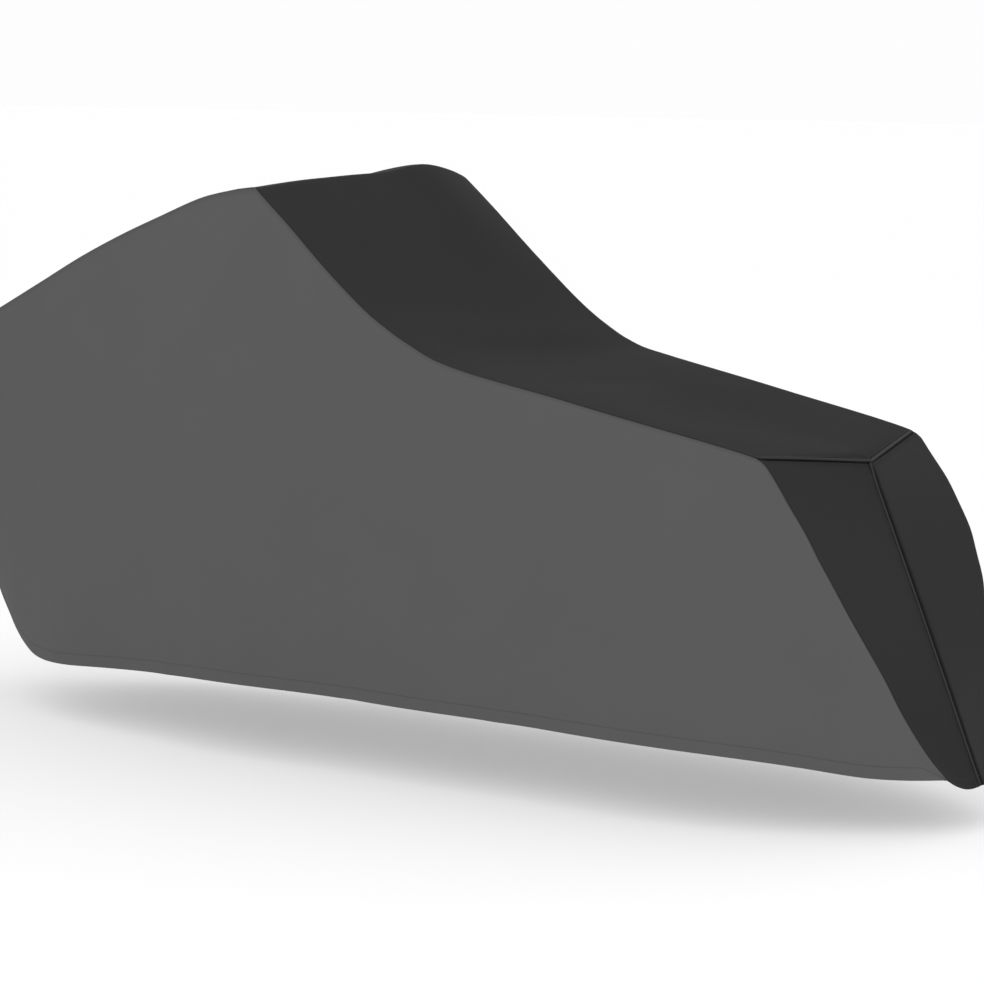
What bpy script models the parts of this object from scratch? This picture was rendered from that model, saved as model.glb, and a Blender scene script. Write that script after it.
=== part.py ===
"""Long fitted cover in its worn shape, hollow and open at the hem: two side panels, and a strip between them
that runs from the tail over the crest, down to the brow and on down the nose.

Metres, +Z up, +X to the nose. The tables below are read as on the worn cover: x along it, z above the ground,
and the half width out to each side. The whole cover is then set with its origin under the crest, where it is
held.
"""

import bmesh
import bpy
import numpy as np
from mathutils import Vector

for old in list(bpy.data.objects):
    bpy.data.objects.remove(old)

# Cloth
THICKNESS = 0.002
GAP = 0.0003
PIPING_RADIUS = 0.0025
PIPING_OUT = PIPING_RADIUS + GAP
PIPING_APART = 2 * PIPING_OUT + 0.001
NOSE_PIPING_ASIDE = 0.0075
NOSE_PIPING_OUT = PIPING_OUT + 0.0004

# Where the worn cover is held: the inner face of the crest, on the middle line
HOLD_X = 0.6870
HOLD_Z = 1.1497

# The seam between a side panel and the strip that runs from the tail over the crest and the brow to the nose.
# Columns: x, z, half width, and foot x, where the side panel's line from that point meets the hem.
TAIL_SEAM = (
    (-0.355, 0.340, 0.096, -0.355),
    (-0.388, 0.405, 0.104, -0.325),
    (-0.410, 0.490, 0.112, -0.290),
    (-0.419, 0.580, 0.121, -0.250),
    (-0.414, 0.665, 0.129, -0.205),
    (-0.391, 0.735, 0.136, -0.160),
    (-0.342, 0.781, 0.142, -0.115),
    (-0.270, 0.816, 0.148, -0.060),
    (-0.193, 0.850, 0.155, 0.000),
    (-0.055, 0.911, 0.173, 0.090),
    (0.079, 0.970, 0.192, 0.180),
    (0.219, 1.022, 0.219, 0.285),
    (0.361, 1.067, 0.253, 0.400),
    (0.503, 1.109, 0.290, 0.520),
    (0.600, 1.127, 0.316, 0.605),
    (0.660, 1.135, 0.330, 0.660),
    (0.687, 1.136, 0.334, 0.690),
)
TOP_SEAM = (
    (0.687, 1.136, 0.334, 0.690),
    (0.706, 1.120, 0.335, 0.715),
    (0.770, 1.068, 0.336, 0.778),
    (0.862, 0.986, 0.334, 0.865),
    (0.956, 0.910, 0.330, 0.955),
    (1.012, 0.873, 0.325, 1.012),
    (1.060, 0.847, 0.321, 1.060),
    (1.116, 0.822, 0.318, 1.120),
    (1.200, 0.800, 0.312, 1.205),
    (1.373, 0.768, 0.302, 1.367),
    (1.534, 0.736, 0.290, 1.508),
    (1.677, 0.709, 0.281, 1.625),
    (1.779, 0.689, 0.275, 1.703),
    (1.818, 0.679, 0.273, 1.740),
    (1.834, 0.668, 0.274, 1.765),
)
NOSE_SEAM = (
    (1.834, 0.668, 0.274, 1.765),
    (1.8515, 0.6457, 0.273, 1.787),
    (1.890, 0.595, 0.276, 1.832),
    (1.918, 0.553, 0.272, 1.867),
    (1.946, 0.505, 0.269, 1.898),
    (1.968, 0.460, 0.257, 1.922),
    (1.991, 0.410, 0.243, 1.947),
    (2.012, 0.350, 0.214, 1.972),
    (2.033, 0.290, 0.185, 1.998),
    (2.049, 0.232, 0.157, 2.027),
    (2.069, 0.180, 0.133, 2.055),
    (2.091, 0.138, 0.115, 2.083),
    (2.118, 0.102, 0.100, 2.118),
)

# The left seam isn't quite level with the right one. Columns: x, how much higher the left seam is.
LEFT_RISE = (
    (0.690, 0.000),
    (0.710, 0.0005),
    (0.760, -0.0015),
    (0.860, 0.002),
    (0.950, 0.0035),
    (1.040, 0.000),
    (1.120, -0.0035),
    (1.160, -0.0055),
    (1.210, -0.004),
    (1.360, -0.003),
    (1.500, 0.000),
    (1.700, 0.002),
    (1.834, 0.002),
)

# The hem of a side panel, from the tail corner to the nose corner. Columns: x, z, half width.
HEM = (
    (-0.355, 0.340, 0.096),
    (-0.310, 0.305, 0.103),
    (-0.270, 0.263, 0.111),
    (-0.228, 0.217, 0.129),
    (-0.196, 0.183, 0.140),
    (-0.159, 0.159, 0.160),
    (-0.107, 0.135, 0.186),
    (-0.040, 0.118, 0.216),
    (0.069, 0.119, 0.260),
    (0.215, 0.129, 0.292),
    (0.526, 0.146, 0.330),
    (0.800, 0.148, 0.335),
    (1.100, 0.147, 0.335),
    (1.400, 0.143, 0.333),
    (1.600, 0.141, 0.324),
    (1.750, 0.136, 0.309),
    (1.900, 0.122, 0.255),
    (1.990, 0.106, 0.193),
    (2.050, 0.101, 0.147),
    (2.118, 0.102, 0.100),
)

# The front's centre seam is straight, from the brow's tip to the hem. The brow's V grows over the strip's last
# stretch. Each point: x, z. The front's hem dips between its corners and the centre seam.
BROW_TIP = (1.886, 0.655)
NOSE_FOOT = (2.133, 0.079)
BROW_RAMP_X = 1.45
NOSE_HEM_DIP = 0.012

# The brow's seam ends a little behind the corners of the sides, so the ribs near it lean back to both seams.
BROW_LEAN = 0.0235
BROW_LEAN_REACH = 0.30

# The crest isn't level: it rises from the right side to a lump left of the middle, and drops at the left end.
# Columns: place across, from -1 at the right seam to 1 at the left, and rise.
CREST = (
    (-1.00, 0.000),
    (-0.80, 0.0055),
    (-0.50, 0.0107),
    (-0.05, 0.0152),
    (0.10, 0.0163),
    (0.34, 0.0238),
    (0.45, 0.0276),
    (0.56, 0.0293),
    (0.67, 0.0271),
    (0.78, 0.0207),
    (0.90, 0.011),
    (1.00, 0.000),
)
CREST_FADE_FRONT = 0.30
CREST_FADE_BACK = 0.34

# Slack: the strip sags between its seams, the tail bellies back most at TAIL_BELLY_X, and the sides hang in long
# shallow waves.
# Columns of the waves: depth, length, where the wave starts.
TOP_SAG = 0.010
REAR_SAG = 0.012
TAIL_BELLY = 0.022
TAIL_BELLY_X = -0.419
TAIL_BELLY_FADE = 0.25
TOP_SAG_GROWTH = 0.45
SIDE_HOLLOW = 0.014
SIDE_WAVES = (
    (0.0070, 0.52, 0.9),
    (0.0045, 0.83, 2.3),
)

# The grid of points: ribs along the strip, places across each half of it, and rows down a side
RIB_SPACING = 0.095
HEM_SPACING = 0.02
HALF_ACROSS = 5
ROWS_DOWN = 9
RIGHT = -1
LEFT = 1


def smooth(rows, spacing):
    """Points on a smooth curve through the rows, at most the spacing apart."""
    rows = np.array(rows)
    padded = np.vstack([2 * rows[0] - rows[1], rows, 2 * rows[-1] - rows[-2]])
    spans = np.hypot(*np.diff(padded[:, :2], axis=0).T)
    points = []
    for i in range(1, len(rows)):
        before, start, end, after = padded[i - 1:i + 3]
        leave = (end - before) * spans[i] / (spans[i - 1] + spans[i])
        arrive = (after - start) * spans[i] / (spans[i] + spans[i + 1])
        steps = int(np.ceil(spans[i] / spacing))
        for t in np.arange(steps) / steps:
            share = t * t * (3 - 2 * t)
            bend = t * (1 - t) ** 2 * leave - t * t * (1 - t) * arrive
            points.append(start + share * (end - start) + bend)
    points.append(rows[-1])
    return np.array(points)


def fade(distance, reach):
    """1 at no distance, falling smoothly to 0 at reach."""
    share = np.clip(distance / reach, 0, 1)
    return 1 - share * share * (3 - 2 * share)


def column(table, x, number=1):
    """The value in a table's numbered column at x."""
    table = np.array(table)
    return np.interp(x, table[:, 0], table[:, number])


def tail_point(rib, across):
    """A point on the strip behind the crest, where across is -1 at the right seam and 1 at the left."""
    x, z, half_width = rib[:3]
    slack = (1 - across ** 2) ** 2
    z += column(CREST, across) * fade(HOLD_X - x, CREST_FADE_BACK)
    z -= REAR_SAG * slack * np.sin(np.pi * fade(x - TAIL_SEAM[0][0], HOLD_X - TAIL_SEAM[0][0]))
    x -= TAIL_BELLY * slack * fade(x - TAIL_BELLY_X, TAIL_BELLY_FADE)
    return x, across * half_width, z


def top_point(rib, across):
    """A point on the strip between the crest and the brow, with the brow's V and the slack before it."""
    x, z, half_width = rib[:3]
    slack = (1 - across ** 2) ** 2
    z += column(CREST, across) * fade(x - HOLD_X, CREST_FADE_FRONT)
    z += column(LEFT_RISE, x) * (1 + across) / 2
    z -= TOP_SAG * slack * (1 - fade(x - HOLD_X, TOP_SAG_GROWTH)) * fade(x - BROW_RAMP_X, TOP_SAG_GROWTH)
    corner_x, corner_z = TOP_SEAM[-1][:2]
    point_out = (1 - abs(across)) * (1 - fade(x - BROW_RAMP_X, corner_x - BROW_RAMP_X))
    x += (BROW_TIP[0] - corner_x) * point_out
    z += (BROW_TIP[1] - corner_z) * point_out
    return x, across * half_width, z


def nose_point(rib, across):
    """A point on the front below the brow, flat from each side seam to the centre seam."""
    x, z, half_width = rib[:3]
    drop = (NOSE_SEAM[0][1] - z) / (NOSE_SEAM[0][1] - NOSE_SEAM[-1][1])
    z += column(LEFT_RISE, NOSE_SEAM[0][0]) * (1 + across) / 2 * (1 - drop)
    centre_x = BROW_TIP[0] + drop * (NOSE_FOOT[0] - BROW_TIP[0])
    centre_z = BROW_TIP[1] + drop * (NOSE_FOOT[1] - BROW_TIP[1])
    inward = 1 - abs(across)
    x += (centre_x - x) * inward
    z += (centre_z - z) * inward
    z -= NOSE_HEM_DIP * np.sin(np.pi * inward) * drop ** 4
    return x, across * half_width, z


def strip_point(run, across):
    """A point on the strip at a run from the tail, leaning back to both seams near the brow."""
    run -= BROW_LEAN * abs(across) * fade(abs(run - runs[brow]), BROW_LEAN_REACH)
    rib = [np.interp(run, runs, numbers) for numbers in ribs.T]
    if run <= runs[crest]:
        return tail_point(rib, across)
    if run <= runs[brow]:
        return top_point(rib, across)
    return nose_point(rib, across)


def outward(grid):
    """The outward direction at each point of a grid, long enough at a bend to keep a mitred thickness."""
    along = np.diff(grid, axis=0)
    over = np.diff(grid, axis=1)
    faces = np.cross(along[:, :-1] + along[:, 1:], over[:-1] + over[1:])
    faces /= np.maximum(np.linalg.norm(faces, axis=2, keepdims=True), 1e-12)
    total = np.zeros(grid.shape)
    for rows in (slice(None, -1), slice(1, None)):
        for columns in (slice(None, -1), slice(1, None)):
            total[rows, columns] += faces
    total /= np.linalg.norm(total, axis=2, keepdims=True)
    least = np.ones(grid.shape[:2])
    for rows in (slice(None, -1), slice(1, None)):
        for columns in (slice(None, -1), slice(1, None)):
            lean = np.sum(faces * total[rows, columns], axis=2)
            least[rows, columns] = np.minimum(least[rows, columns], lean)
    return total / least[:, :, None]


def cut_back(outer, inner, edge, distance):
    """Moves one edge of a sheet in towards its next row of points, so that it stays clear of its neighbour."""
    for layer in (outer, inner):
        lines = {
            "first": (layer[0], layer[1]),
            "last": (layer[-1], layer[-2]),
            "right": (layer[:, 0], layer[:, 1]),
            "left": (layer[:, -1], layer[:, -2]),
        }
        border, following = lines[edge]
        way = following - border
        border += way * distance / np.linalg.norm(way, axis=1, keepdims=True)


def strip_panel(name, rows, columns, trimmed):
    """A panel of the strip: one closed sheet of cloth, with the named edges trimmed to clear the next panel."""
    outer = strip[rows, columns].copy()
    inner = outer - THICKNESS * out[rows, columns]
    for edge in trimmed:
        cut_back(outer, inner, edge, GAP / 2)
    down, over = outer.shape[:2]
    points = np.concatenate([outer.reshape(-1, 3), inner.reshape(-1, 3)])
    under = down * over
    faces = []
    for i in range(down - 1):
        for a in range(i * over, i * over + over - 1):
            quad = (a, a + over, a + over + 1, a + 1)
            faces.append(quad)
            faces.append(tuple(k + under for k in reversed(quad)))
    border = list(range(over))
    border += [i * over + over - 1 for i in range(1, down)]
    border += [(down - 1) * over + j for j in reversed(range(over - 1))]
    border += [i * over for i in reversed(range(1, down - 1))]
    for a, b in zip(border, border[1:] + border[:1]):
        faces.append((a, b, b + under, a + under))
    mesh = bpy.data.meshes.new(name)
    mesh.from_pydata([Vector(p) for p in points], [], faces)
    finish(bpy.data.objects.new(name, mesh), strip_cloth)


def finish(piece, material):
    """Puts a piece in the scene, on the holding point, in its cloth."""
    bpy.context.scene.collection.objects.link(piece)
    piece.data.materials.append(material)
    piece.parent = hold


def cloth(name, colour, roughness):
    """A plain woven cloth."""
    material = bpy.data.materials.new(name)
    material.use_nodes = True
    shader = material.node_tree.nodes["Principled BSDF"]
    shader.inputs["Base Color"].default_value = (*colour, 1)
    shader.inputs["Roughness"].default_value = roughness
    shader.inputs["Metallic"].default_value = 0
    return material


def side_slack(x, share):
    """How far the hanging side stands out at x, a share of the way from the seam to the hem."""
    start = HEM[0][0]
    length = HEM[-1][0] - start
    room = np.sin(np.pi * (x - start) / length) if start < x < start + length else 0
    waves = sum(depth * np.sin(2 * np.pi * x / wave + begin) for depth, wave, begin in SIDE_WAVES)
    return np.sqrt(room) * (waves * share ** 1.5 - SIDE_HOLLOW * np.sin(np.pi * share) ** 2)


def side_lines(side):
    """The lines of points down a side panel's outer face, each from the seam to the hem."""
    edge = 0 if side == RIGHT else -1
    tops = strip[:, edge] - (THICKNESS + GAP) * out[:, edge]
    tops[:, 1] = strip[:, edge, 1]
    hem = smooth(HEM, HEM_SPACING)
    lines = []
    for top, foot_x in zip(tops, ribs[:, 3]):
        foot = np.array([foot_x, side * column(hem, foot_x, 2), column(hem, foot_x, 1)])
        line = [top + share * (foot - top) for share in np.linspace(0, 1, ROWS_DOWN + 1)]
        for point, share in zip(line, np.linspace(0, 1, ROWS_DOWN + 1)):
            point[1] += side * side_slack(point[0], share)
        lines.append(line)
    return tops, lines


def side_panel(name, side):
    """A side panel drawn to a point at the tail and at the nose, and thickened inwards."""
    tops, lines = side_lines(side)
    work = bmesh.new()
    tail_tip = work.verts.new(tops[0])
    nose_tip = work.verts.new(tops[-1])
    points = [[work.verts.new(p) for p in line] for line in lines[1:-1]]
    for line, following in zip(points, points[1:]):
        for j in range(ROWS_DOWN):
            work.faces.new((line[j], line[j + 1], following[j + 1], following[j]))
    for j in range(ROWS_DOWN):
        work.faces.new((tail_tip, points[0][j + 1], points[0][j]))
        work.faces.new((points[-1][j], points[-1][j + 1], nose_tip))
    if side == LEFT:
        bmesh.ops.reverse_faces(work, faces=work.faces)
    mesh = bpy.data.meshes.new(name)
    work.to_mesh(mesh)
    work.free()
    panel = bpy.data.objects.new(name, mesh)
    thicken = panel.modifiers.new("thickness", "SOLIDIFY")
    thicken.thickness = THICKNESS
    thicken.offset = -1
    thicken.use_even_offset = True
    finish(panel, side_cloth)


def piping(name, centre_line):
    """A round piping cord along a seam."""
    curve = bpy.data.curves.new(name, "CURVE")
    curve.dimensions = "3D"
    curve.bevel_depth = PIPING_RADIUS
    curve.bevel_resolution = 2
    curve.use_fill_caps = True
    spline = curve.splines.new("POLY")
    spline.points.add(len(centre_line) - 1)
    for knot, place in zip(spline.points, centre_line):
        knot.co = (*place, 1)
    finish(bpy.data.objects.new(name, curve), piping_cloth)


hold = bpy.data.objects.new("hold", None)
bpy.context.scene.collection.objects.link(hold)
hold.location = (-HOLD_X, 0, -HOLD_Z)

side_cloth = cloth("side_cloth", (0.105, 0.105, 0.105), 0.8)
strip_cloth = cloth("strip_cloth", (0.033, 0.033, 0.033), 0.8)
piping_cloth = cloth("piping_cloth", (0.055, 0.055, 0.052), 0.6)

# The strip's ribs, and its outer face as a grid of points: along it in ribs, and across from right to left
tail_ribs = smooth(TAIL_SEAM, RIB_SPACING)
top_ribs = smooth(TOP_SEAM, RIB_SPACING)
nose_ribs = smooth(NOSE_SEAM, RIB_SPACING)
ribs = np.vstack([tail_ribs, top_ribs[1:], nose_ribs[1:]])
runs = np.concatenate([[0], np.cumsum(np.hypot(*np.diff(ribs[:, :2], axis=0).T))])
crest = len(tail_ribs) - 1
brow = crest + len(top_ribs) - 1
places = np.linspace(-1, 1, 2 * HALF_ACROSS + 1)
strip = np.array([[strip_point(run, across) for across in places] for run in runs])
out = outward(strip)
middle = HALF_ACROSS

back_rows = slice(0, crest + 1)
top_panel_rows = slice(crest, brow + 1)
front_rows = slice(brow, len(strip))
strip_panel("back_panel", back_rows, slice(None), ("last",))
strip_panel("top_panel", top_panel_rows, slice(None), ("first", "last"))
strip_panel("front_right", front_rows, slice(0, middle + 1), ("first", "left"))
strip_panel("front_left", front_rows, slice(middle, None), ("first", "right"))
side_panel("side_right", RIGHT)
side_panel("side_left", LEFT)

piping("brow_piping", strip[brow] + PIPING_OUT * out[brow])
aside = strip[brow:, middle - 1] - strip[brow:, middle]
aside /= np.linalg.norm(aside, axis=1, keepdims=True)
nose_line = strip[brow:, middle] + NOSE_PIPING_ASIDE * aside + NOSE_PIPING_OUT * out[brow:, middle - 1]
way_down = nose_line[1] - nose_line[0]
nose_line[0] += way_down * PIPING_APART / np.linalg.norm(way_down)
piping("nose_piping", nose_line)
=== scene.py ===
import math

import bpy
import numpy as np
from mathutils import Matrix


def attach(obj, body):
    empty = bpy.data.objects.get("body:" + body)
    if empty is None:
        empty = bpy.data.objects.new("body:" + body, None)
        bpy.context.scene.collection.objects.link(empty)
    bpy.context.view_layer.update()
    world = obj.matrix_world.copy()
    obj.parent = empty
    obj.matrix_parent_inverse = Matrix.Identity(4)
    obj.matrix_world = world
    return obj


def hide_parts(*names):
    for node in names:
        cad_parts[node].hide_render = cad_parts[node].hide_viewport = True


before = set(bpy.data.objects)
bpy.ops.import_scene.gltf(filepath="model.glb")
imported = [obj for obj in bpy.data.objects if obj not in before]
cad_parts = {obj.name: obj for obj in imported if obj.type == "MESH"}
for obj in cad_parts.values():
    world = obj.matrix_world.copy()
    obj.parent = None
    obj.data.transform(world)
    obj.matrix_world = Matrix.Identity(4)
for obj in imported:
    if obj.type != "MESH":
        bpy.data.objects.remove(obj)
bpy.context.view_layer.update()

# -----------------------------------------------------------------------------------------------------------
# Camera, floor and light. The cover hangs in the air in a pale studio, its hem a hand's width above the
# floor. The camera stands in front of it, well to the right side, and a little higher than its crest. The
# floor is a light table: it glows a little, so that the shadow under the hem stays soft.
CAMERA_PLACE = (4.6367, -5.6994, 0.3086)
CAMERA_AZIMUTH = math.radians(37.107)
CAMERA_ELEVATION = math.radians(7.410)
LENS_MM = 132.5
SENSOR_MM = 36
FLOOR_Z = -1.1497
FLOOR_REACH = 40
FLOOR_GREY = 0.62
FLOOR_GLOW = 0.37
FLOOR_ROUGHNESS = 0.9
FLOOR_GLOSS = 0.1
STUDIO_WHITE = (1, 1, 1, 1)
STUDIO_BRIGHTNESS = 0.985
# Columns: name, place, aimed at, size, power
SOFT_BOXES = (
    ("key", (2.5, -5.5, 3.0), (0.2, 0, -0.5), 4.0, 60),
    ("front_fill", (6.0, 1.5, 1.0), (0.8, 0, -0.5), 3.0, 25),
)

camera = bpy.data.objects.new("camera", bpy.data.cameras.new("camera"))
bpy.context.scene.collection.objects.link(camera)
camera.location = CAMERA_PLACE
camera.rotation_euler = (math.pi / 2 - CAMERA_ELEVATION, 0, CAMERA_AZIMUTH)
camera.data.lens = LENS_MM
camera.data.sensor_width = SENSOR_MM
bpy.context.scene.camera = camera

floor_corners = [(-FLOOR_REACH, -FLOOR_REACH), (FLOOR_REACH, -FLOOR_REACH),
                 (FLOOR_REACH, FLOOR_REACH), (-FLOOR_REACH, FLOOR_REACH)]
floor_mesh = bpy.data.meshes.new("floor")
floor_mesh.from_pydata([(x, y, FLOOR_Z) for x, y in floor_corners], [], [(0, 1, 2, 3)])
floor = bpy.data.objects.new("floor", floor_mesh)
bpy.context.scene.collection.objects.link(floor)
floor_paint = bpy.data.materials.new("floor_paint")
floor_paint.use_nodes = True
floor_shader = floor_paint.node_tree.nodes["Principled BSDF"]
floor_shader.inputs["Base Color"].default_value = (FLOOR_GREY, FLOOR_GREY, FLOOR_GREY, 1)
floor_shader.inputs["Emission Color"].default_value = STUDIO_WHITE
floor_shader.inputs["Emission Strength"].default_value = FLOOR_GLOW
floor_shader.inputs["Roughness"].default_value = FLOOR_ROUGHNESS
floor_shader.inputs["Specular IOR Level"].default_value = FLOOR_GLOSS
floor_mesh.materials.append(floor_paint)

studio = bpy.data.worlds.new("studio")
bpy.context.scene.world = studio
studio.use_nodes = True
studio.node_tree.nodes["Background"].inputs["Color"].default_value = STUDIO_WHITE
studio.node_tree.nodes["Background"].inputs["Strength"].default_value = STUDIO_BRIGHTNESS
bpy.context.scene.view_settings.view_transform = "Standard"

for name, place, target, size, power in SOFT_BOXES:
    soft_box = bpy.data.objects.new(name, bpy.data.lights.new(name, "AREA"))
    bpy.context.scene.collection.objects.link(soft_box)
    soft_box.data.size = size
    soft_box.data.energy = power
    soft_box.location = place
    aim = np.subtract(target, place)
    tilt = math.atan2(math.hypot(aim[0], aim[1]), -aim[2])
    soft_box.rotation_euler = (tilt, 0, math.atan2(aim[1], aim[0]) - math.pi / 2)

# -----------------------------------------------------------------------------------------------------------
# The back panel: the rear end of the strip, whose charcoal panels are sewn end to end from tail to nose. It
# is one cut of proofed cover cloth, slack between its side seams and turned up as a hem at the tail. Sizes
# are read on the worn cover, with z above the floor. HOLD is the point under the crest where it is held.
HOLD = np.array([0.6870, 0, 1.1497])
# The strip's side seams, from the tail to the crest. Columns: x, z, half width, x of the side's hem below
TAIL_SEAM = (
    (-0.355, 0.340, 0.096, -0.355),
    (-0.388, 0.405, 0.104, -0.325),
    (-0.410, 0.490, 0.112, -0.290),
    (-0.419, 0.580, 0.121, -0.250),
    (-0.414, 0.665, 0.129, -0.205),
    (-0.391, 0.735, 0.136, -0.160),
    (-0.342, 0.781, 0.142, -0.115),
    (-0.270, 0.816, 0.148, -0.060),
    (-0.193, 0.850, 0.155, 0.000),
    (-0.055, 0.911, 0.173, 0.090),
    (0.079, 0.970, 0.192, 0.180),
    (0.219, 1.022, 0.219, 0.285),
    (0.361, 1.067, 0.253, 0.400),
    (0.503, 1.109, 0.290, 0.520),
    (0.600, 1.127, 0.316, 0.605),
    (0.660, 1.135, 0.330, 0.660),
    (0.687, 1.136, 0.334, 0.690),
)
# Columns: place across the crest from right (-1) to left (1), rise
CREST = (
    (-1.00, 0.0000),
    (-0.88, 0.0012),
    (-0.72, 0.0052),
    (-0.50, 0.0098),
    (-0.25, 0.0126),
    (-0.05, 0.0147),
    (0.08, 0.0155),
    (0.20, 0.0165),
    (0.34, 0.0207),
    (0.45, 0.0259),
    (0.56, 0.0291),
    (0.67, 0.0279),
    (0.78, 0.0216),
    (0.90, 0.0118),
    (1.00, 0.0000),
)
CREST_FADE_BACK = 0.34
REAR_SAG = 0.012
TAIL_BELLY = 0.022
TAIL_BELLY_X = -0.419
TAIL_BELLY_FADE = 0.25
CLOTH_THICK = 0.0012
HEM_DEPTH = 0.024
HEM_THICK = 0.0024
HEM_STEP = 0.004
EDGE_ROLL = 0.0012
END_ROLL_SHARE = 0.5
CREST_SEAM_DEPTH = 0.0012
CREST_SEAM_WIDTH = 0.004
PUCKER_DEPTH = 0.0007
PUCKER_REACH = 0.028
PUCKER_PITCH = 0.052
PUCKER_FLAT = 0.008
PUCKER_CROWDING = 1.3
PUCKER_CROWDING_RATE = 9.1
PUCKER_SWELL = 0.4
PUCKER_SWELL_RATE = 3.7
# Painted shade beside the seams: how dark, and how far it reaches
SEAM_SHADE = 0.10
SEAM_SHADE_WIDTH = 0.002
SEAM_SPACING = 0.004
CREST_SPACING = 0.02
# The cloth's points: the step between ribs, distances from an edge and from the middle, and columns between
RIB_STEP = 0.013
NEAR_EDGE = (0, 0.0008, 0.0018, 0.0030, 0.0050, 0.0085)
NEAR_MIDDLE = (0.0012, 0.0024, 0.0036, 0.005, 0.0065, 0.008, 0.0105, 0.0135)
COLUMNS = 24
CLOTH_GLOSS = 0.07
SHEEN_ROUGHNESS = 0.5
MOTTLE_SHARE = 1.6
THREAD_SHARE = 0.5
WEAVE_ROUGHNESS = 0.78
WEAVE_ROUGHNESS_CHANGE = 0.12


def smooth(rows, spacing):
    """Points on a smooth curve through a table's rows, at most the spacing apart."""
    rows = np.array(rows)
    padded = np.vstack([2 * rows[0] - rows[1], rows, 2 * rows[-1] - rows[-2]])
    spans = np.hypot(*np.diff(padded[:, :2], axis=0).T)
    points = []
    for i in range(1, len(rows)):
        before, start, end, after = padded[i - 1:i + 3]
        leave = (end - before) * spans[i] / (spans[i - 1] + spans[i])
        arrive = (after - start) * spans[i] / (spans[i] + spans[i + 1])
        steps = int(np.ceil(spans[i] / spacing))
        for t in np.arange(steps) / steps:
            share = t * t * (3 - 2 * t)
            bend = t * (1 - t) ** 2 * leave - t * t * (1 - t) * arrive
            points.append(start + share * (end - start) + bend)
    points.append(rows[-1])
    return np.array(points)


def fade(distance, reach):
    """1 at no distance, falling smoothly to 0 at reach."""
    share = np.clip(distance / reach, 0, 1)
    return 1 - share * share * (3 - 2 * share)


def bell(distance, height, width, sharpness=2):
    """A soft valley, ridge or line beside a seam: its full height at the seam, and gone a few widths away."""
    return height * np.exp(-(distance / width) ** sharpness)


def rolled(distance):
    """How far a rolled edge drops at a distance from it: a quarter circle."""
    inside = np.clip(EDGE_ROLL - distance, 0, EDGE_ROLL)
    return EDGE_ROLL - np.sqrt(EDGE_ROLL ** 2 - inside ** 2)


def run_along(points):
    """How far along a line of points each of them is."""
    return np.concatenate([[0], np.cumsum(np.linalg.norm(np.diff(points, axis=0), axis=1))])


def ribs_of(table, crowded=True):
    """A seam's ribs, and how far along it each is. Crowded ribs are closer together near both its ends."""
    fine = smooth(table, SEAM_SPACING)
    run = run_along(fine[:, :2])
    places = np.linspace(0, run[-1], round(run[-1] / RIB_STEP))
    if crowded:
        near = np.array(NEAR_EDGE)
        inside = np.linspace(near[-1], run[-1] - near[-1], len(places))
        places = np.concatenate([near[:-1], inside, run[-1] - near[-2::-1]])
    return np.column_stack([np.interp(places, run, column) for column in fine.T]), places


def places_across(half_width):
    """The places across the strip, from -1 at its right seam to 1 at its left one, closer together near both
    and near the middle."""
    near = np.array(NEAR_EDGE)[None, :] / half_width[:, None]
    middle = np.array(NEAR_MIDDLE)[None, :] / half_width[:, None]
    between = middle[:, -1:] + (1 - near[:, -1:] - middle[:, -1:]) * np.arange(1, COLUMNS + 1) / COLUMNS
    left = np.hstack([middle, between, 1 - near[:, -2::-1]])
    return np.hstack([-left[:, ::-1], 0 * half_width[:, None], left])


crest_curve = smooth(CREST, CREST_SPACING)


def tail_grid(ribs):
    """The back panel's outer face: slack between its seams, and bellied back at the tail."""
    x, z, half_width = (ribs[:, i:i + 1] for i in range(3))
    across = places_across(ribs[:, 2])
    slack = (1 - across ** 2) ** 2
    tail_x = TAIL_SEAM[0][0]
    up = z + np.interp(across, *crest_curve.T) * fade(HOLD[0] - x, CREST_FADE_BACK)
    up = up - REAR_SAG * slack * np.sin(np.pi * fade(x - tail_x, HOLD[0] - tail_x))
    along = x - TAIL_BELLY * slack * fade(x - TAIL_BELLY_X, TAIL_BELLY_FADE)
    return np.stack([along, across * half_width, up], axis=2), across


def outward(grid):
    """The outward direction at each point of a grid whose rows run forwards and columns run to the left."""
    way = np.cross(np.gradient(grid, axis=0), np.gradient(grid, axis=1))
    return way / np.maximum(np.linalg.norm(way, axis=2, keepdims=True), 1e-12)


def puckers(run, distance, depth=PUCKER_DEPTH, reach=PUCKER_REACH):
    """Small puckers that stitching draws into cloth beside a seam: unevenly spaced and unevenly deep."""
    beat = np.sin(run * 2 * np.pi / PUCKER_PITCH + PUCKER_CROWDING * np.sin(run * PUCKER_CROWDING_RATE))
    beat = beat * (1 - PUCKER_SWELL + PUCKER_SWELL * np.sin(run * PUCKER_SWELL_RATE + 1))
    return depth * beat * np.exp(-distance / reach) * (1 - np.exp(-distance / PUCKER_FLAT))


def hem_thickness(distance):
    """The cloth's thickness near its turned-up hem."""
    return CLOTH_THICK + (HEM_THICK - CLOTH_THICK) * fade(distance - HEM_DEPTH, HEM_STEP)


def woven_piece(name, points, faces, weave_place, material):
    """A piece of cloth from points and faces, with its weave laid out on it in metres."""
    mesh = bpy.data.meshes.new(name)
    mesh.from_pydata((points - HOLD).tolist(), [], faces)
    corners = np.zeros(len(mesh.loops), dtype=np.int32)
    mesh.loops.foreach_get("vertex_index", corners)
    layout = mesh.uv_layers.new(name="weave")
    layout.data.foreach_set("uv", weave_place[corners].astype(np.float32).ravel())
    mesh.polygons.foreach_set("use_smooth", [True] * len(mesh.polygons))
    mesh.materials.append(material)
    piece = bpy.data.objects.new(name, mesh)
    bpy.context.scene.collection.objects.link(piece)
    return piece


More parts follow.
